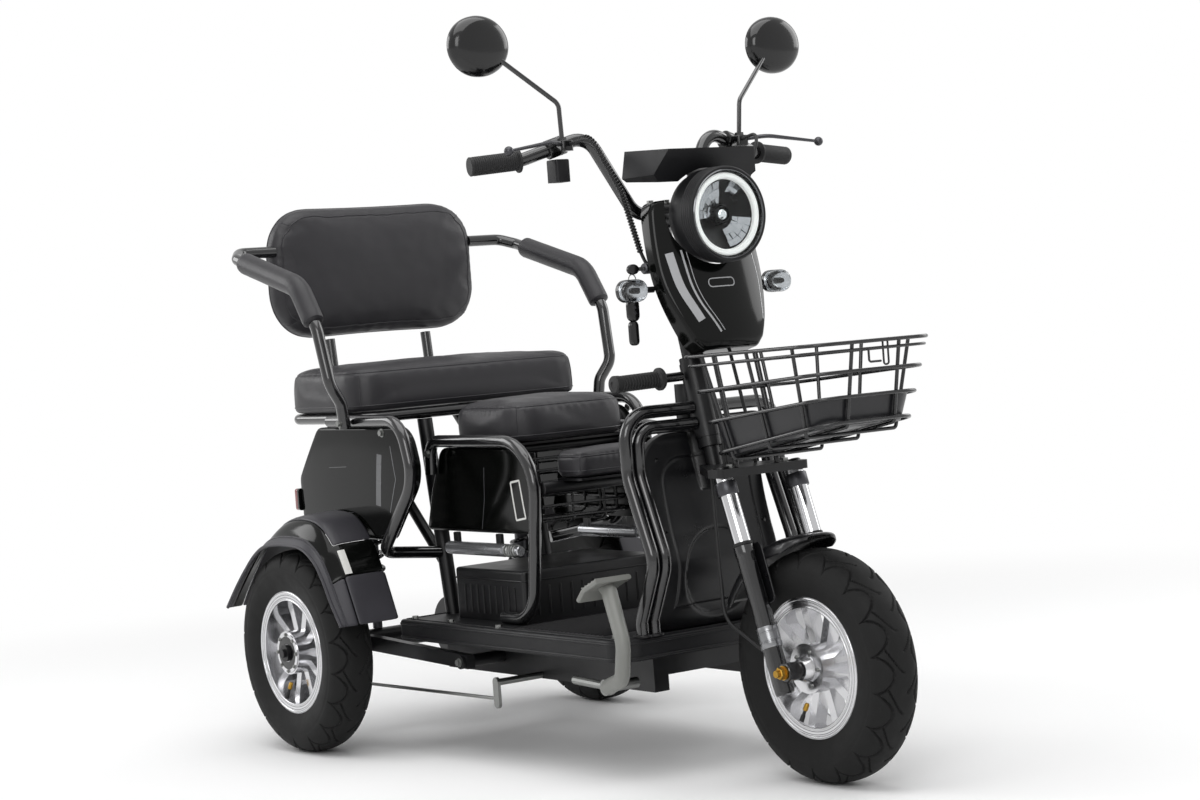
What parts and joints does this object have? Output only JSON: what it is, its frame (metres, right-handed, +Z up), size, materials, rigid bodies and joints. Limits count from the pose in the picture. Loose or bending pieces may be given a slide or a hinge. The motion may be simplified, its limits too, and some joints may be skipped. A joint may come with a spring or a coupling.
{
  "type": "electric tricycle",
  "caption": "Electric tricycle: bench with backrest over two rear wheels, driver's seat, step-through floor, handlebar with lamp, cowl and basket over the front wheel.",
  "frame": {"origin": "on the ground, under the middle of the overall length and width", "axes": "+X forward, +Y to the rider's left, +Z up; the wheels turn about Y"},
  "size_m": [1.4995, 0.76, 1.2685],
  "materials": {
    "frame_paint": "gloss black powder coat",
    "textured_plastic": "fine grained black",
    "gloss_cover": "gloss black",
    "seat_cover": "charcoal leatherette",
    "tyre_rubber": "black rubber",
    "grip_rubber": "soft black rubber",
    "wheel_alloy": "polished",
    "chrome_plate": "bright chrome",
    "plated_steel": "zinc plated",
    "lever_alloy": "satin",
    "basket_wire": "dark grey coated wire",
    "cast_metal": "cast",
    "spring_steel": "black coated spring",
    "grey_metal": "light grey",
    "signal_lens": "clear",
    "lamp_lens": "red"
  },
  "bodies": {
    "chassis": {"main_frame": "frame_paint", "footboard": "textured_plastic", "battery_case": "textured_plastic", "leg_shield": "textured_plastic", "front_hoops": "frame_paint", "side_hoops": "frame_paint", "rear_side_panels": "gloss_cover", "mid_panels": "gloss_cover", "side_struts": "chrome_plate", "rear_axle": "frame_paint", "drive_motor": "cast_metal", "rear_shocks": "spring_steel", "rear_fenders": "gloss_cover", "tail_lamps": "lamp_lens", "bench_frame": "frame_paint", "rear_bench": "seat_cover", "backrest": "seat_cover", "armrest_tubes": "frame_paint", "armrest_pads": "seat_cover", "seat_mount": "frame_paint", "seat_basket": "basket_wire", "driver_seat": "seat_cover", "child_seat_mount": "frame_paint", "child_seat": "seat_cover", "swing_arm_pivot": "frame_paint", "brake_pedal": "grey_metal", "brake_rod": "plated_steel", "parking_lever": "frame_paint"},
    "steering": {"steering_stem": "frame_paint", "fork_legs": "chrome_plate", "front_axle": "plated_steel", "handlebar": "frame_paint", "grips": "grip_rubber", "brake_levers": "lever_alloy", "switch_boxes": "textured_plastic", "mirrors": "textured_plastic", "headlamp": "textured_plastic", "dash_housing": "textured_plastic", "cowl": "gloss_cover", "turn_signals": "signal_lens", "basket_frame": "basket_wire", "basket_tray": "textured_plastic", "front_mudguard": "frame_paint", "control_cables": "grip_rubber"},
    "front_wheel": {"front_tyre": "tyre_rubber", "front_rim": "wheel_alloy"},
    "rear_wheel_left": {"rear_tyre_left": "tyre_rubber", "rear_rim_left": "wheel_alloy"},
    "rear_wheel_right": {"rear_tyre_right": "tyre_rubber", "rear_rim_right": "wheel_alloy"}
  },
  "joints": [
    {"name": "steering", "type": "hinge", "parent": "chassis", "child": "steering", "pos_m": [0.30425, 0, 0.552], "axis": [-0.2334, 0, 0.9724], "range_deg": [-35, 35]},
    {"name": "front_wheel", "type": "hinge", "parent": "steering", "child": "front_wheel", "pos_m": [0.56225, 0, 0.1875], "axis": [0, 1, 0], "continuous": true},
    {"name": "rear_wheel_left", "type": "hinge", "parent": "chassis", "child": "rear_wheel_left", "pos_m": [-0.52775, 0.325, 0.1875], "axis": [0, 1, 0], "continuous": true},
    {"name": "rear_wheel_right", "type": "hinge", "parent": "chassis", "child": "rear_wheel_right", "pos_m": [-0.52775, -0.325, 0.1875], "axis": [0, 1, 0], "continuous": true}
  ]
}
